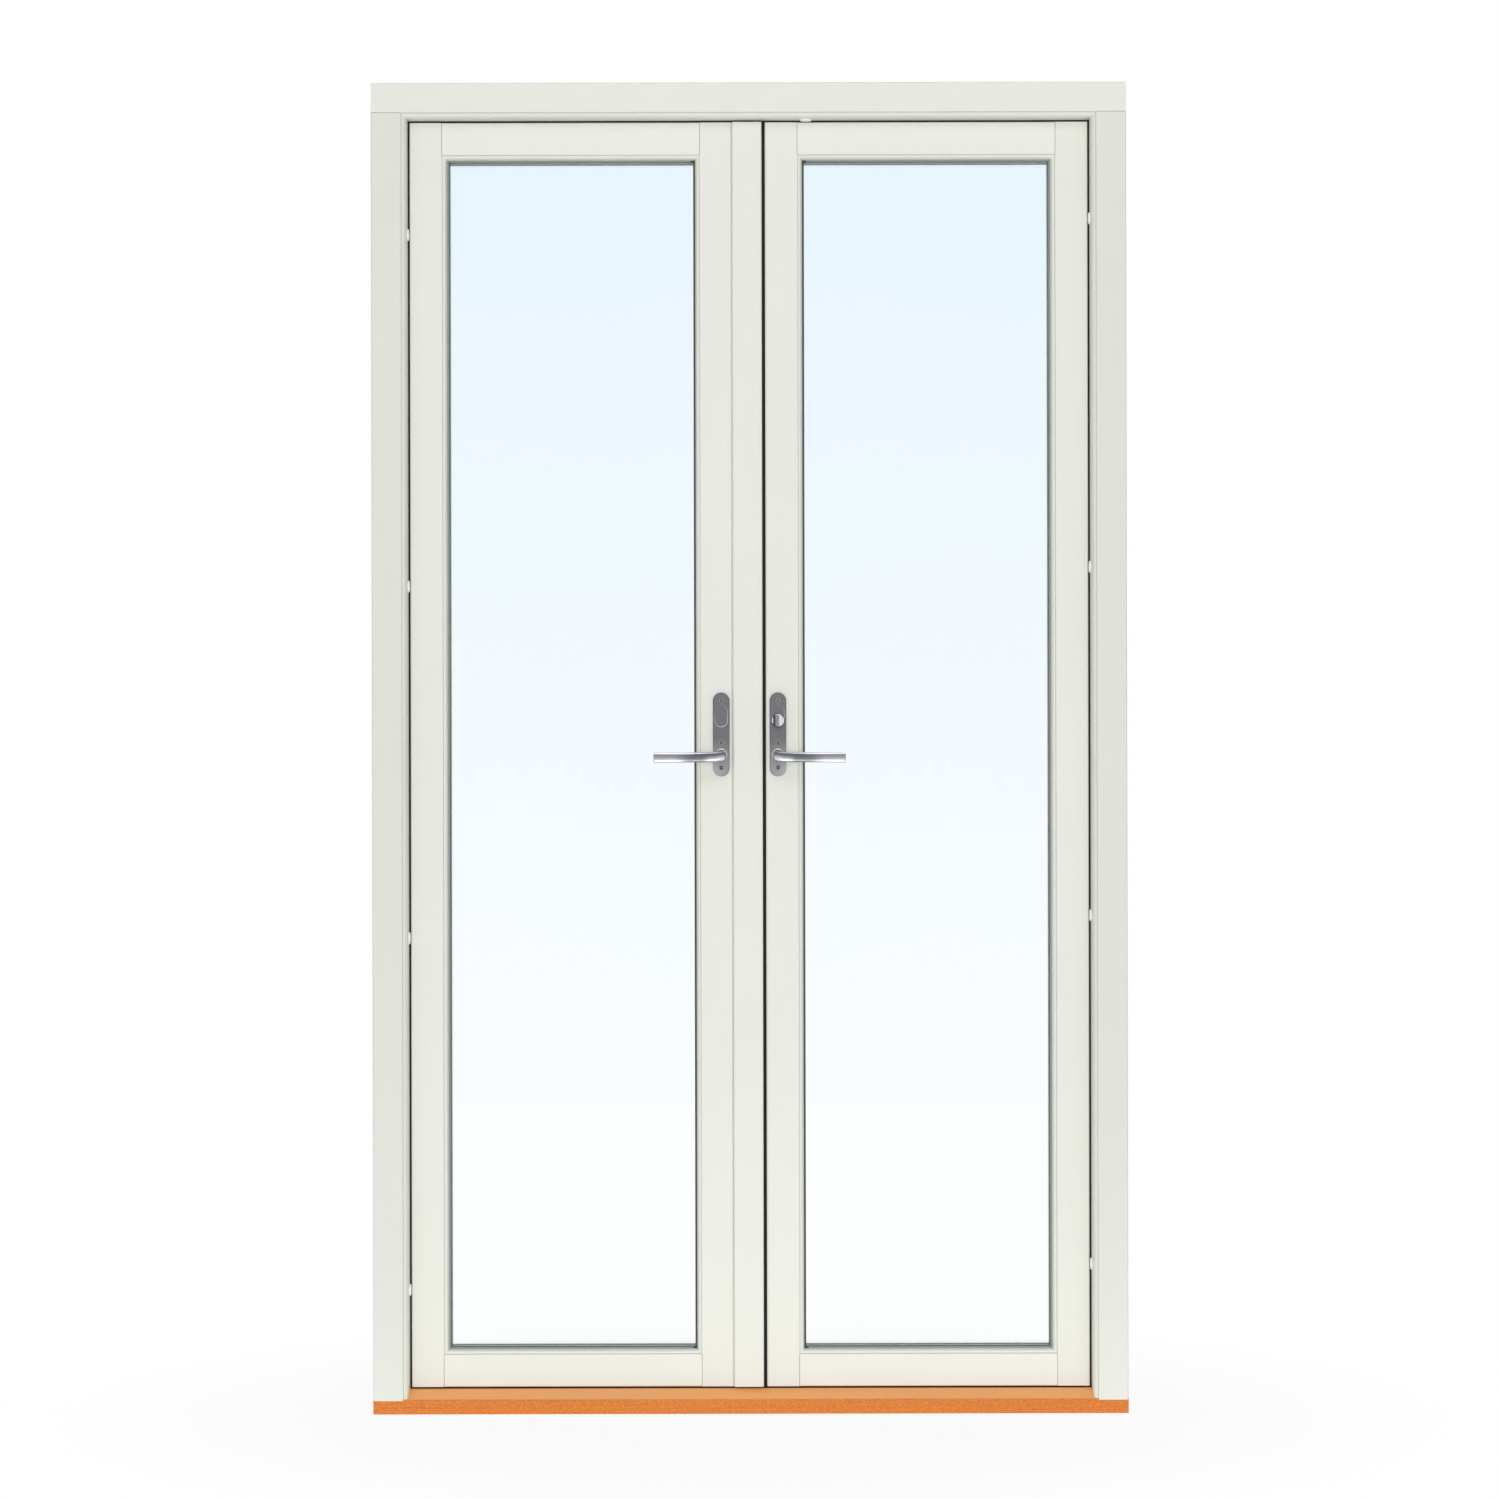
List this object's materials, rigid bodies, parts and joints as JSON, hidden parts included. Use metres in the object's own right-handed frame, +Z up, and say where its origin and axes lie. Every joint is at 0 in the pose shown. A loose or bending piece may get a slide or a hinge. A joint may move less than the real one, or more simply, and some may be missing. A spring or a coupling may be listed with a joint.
{
  "type": "french doors",
  "caption": "Outward-opening french doors: paired glazed timber leaves in a moulded frame on a hardwood threshold, with a flying post, lever-driven edge bolts and a thumb-turn.",
  "frame": {"origin": "middle of the threshold's underside, in the middle of the frame's depth", "axes": "+X to the right seen from the room, +Y to the outside where the leaves swing, +Z up"},
  "size_m": [1.18, 0.1377, 2.08],
  "materials": {
    "painted_timber": "satin white paint on timber",
    "hardwood": "oiled orange-brown hardwood",
    "black_rubber": "matt black rubber",
    "grey_rubber": "matt grey-green rubber",
    "glass": "clear float glass",
    "aluminium": "mill finish, perforated",
    "satin_steel": "satin",
    "zinc_steel": "bright zinc plate",
    "block_plastic": "moulded"
  },
  "bodies": {
    "frame": {"frame_head": "painted_timber", "left_jamb": "painted_timber", "right_jamb": "painted_timber", "threshold": "hardwood", "frame_gasket": "black_rubber", "bolt_keeps": "zinc_steel", "left_frame_hinges": "zinc_steel", "right_frame_hinges": "zinc_steel"},
    "left_leaf": {"left_hinge_stile": "painted_timber", "left_meeting_stile": "painted_timber", "left_top_rail": "painted_timber", "left_bottom_rail": "painted_timber", "left_inner_pane": "glass", "left_middle_pane": "glass", "left_outer_pane": "glass", "left_spacers": "aluminium", "left_glazing_gaskets": "grey_rubber", "left_glazing_beads": "painted_timber", "left_setting_blocks": "block_plastic", "left_leaf_hinges": "zinc_steel", "left_faceplate": "zinc_steel", "left_gear_case": "zinc_steel", "left_handle_plate": "satin_steel", "flying_post": "painted_timber", "meeting_gasket": "black_rubber"},
    "left_handle": {"left_lever": "satin_steel", "left_spindle": "zinc_steel", "left_pinion": "zinc_steel"},
    "left_upper_bolt": {"left_upper_rod": "zinc_steel"},
    "left_lower_bolt": {"left_lower_rod": "zinc_steel"},
    "right_leaf": {"right_hinge_stile": "painted_timber", "right_meeting_stile": "painted_timber", "right_top_rail": "painted_timber", "right_bottom_rail": "painted_timber", "right_inner_pane": "glass", "right_middle_pane": "glass", "right_outer_pane": "glass", "right_spacers": "aluminium", "right_glazing_gaskets": "grey_rubber", "right_glazing_beads": "painted_timber", "right_setting_blocks": "block_plastic", "right_leaf_hinges": "zinc_steel", "right_faceplate": "zinc_steel", "right_gear_case": "zinc_steel", "right_handle_plate": "satin_steel"},
    "right_handle": {"right_lever": "satin_steel", "right_spindle": "zinc_steel", "right_pinion": "zinc_steel"},
    "right_upper_bolt": {"right_upper_rod": "zinc_steel"},
    "right_lower_bolt": {"right_lower_rod": "zinc_steel"},
    "lock_turn": {"thumb_turn": "satin_steel"}
  },
  "joints": [
    {"name": "left_leaf_swing", "type": "hinge", "parent": "frame", "child": "left_leaf", "pos_m": [-0.54725, 0.06, 1.03], "axis": [0, 0, 1], "range_deg": [0, 110]},
    {"name": "left_lever_turn", "type": "hinge", "parent": "left_leaf", "child": "left_handle", "pos_m": [-0.0445, -0.03, 1.029], "axis": [0, 1, 0], "range_deg": [0, 90]},
    {"name": "left_upper_bolt_slide", "type": "slide", "parent": "left_leaf", "child": "left_upper_bolt", "axis": [0, 0, 1], "range_m": [0, 0.0142]},
    {"name": "left_lower_bolt_slide", "type": "slide", "parent": "left_leaf", "child": "left_lower_bolt", "axis": [0, 0, -1], "range_m": [0, 0.0142]},
    {"name": "right_leaf_swing", "type": "hinge", "parent": "frame", "child": "right_leaf", "pos_m": [0.54725, 0.06, 1.03], "axis": [0, 0, -1], "range_deg": [0, 110]},
    {"name": "right_lever_turn", "type": "hinge", "parent": "right_leaf", "child": "right_handle", "pos_m": [0.0445, -0.03, 1.029], "axis": [0, -1, 0], "range_deg": [0, 90]},
    {"name": "right_upper_bolt_slide", "type": "slide", "parent": "right_leaf", "child": "right_upper_bolt", "axis": [0, 0, 1], "range_m": [0, 0.0142]},
    {"name": "right_lower_bolt_slide", "type": "slide", "parent": "right_leaf", "child": "right_lower_bolt", "axis": [0, 0, -1], "range_m": [0, 0.0142]},
    {"name": "lock_turn_turn", "type": "hinge", "parent": "right_leaf", "child": "lock_turn", "pos_m": [0.0445, -0.03, 1.083], "axis": [0, -1, 0], "range_deg": [0, 90]}
  ],
  "couplings": [
    {"joint": "left_upper_bolt_slide", "follows": "left_lever_turn", "m_per_rad": 0.009},
    {"joint": "left_lower_bolt_slide", "follows": "left_lever_turn", "m_per_rad": 0.009},
    {"joint": "right_upper_bolt_slide", "follows": "right_lever_turn", "m_per_rad": 0.009},
    {"joint": "right_lower_bolt_slide", "follows": "right_lever_turn", "m_per_rad": 0.009}
  ]
}
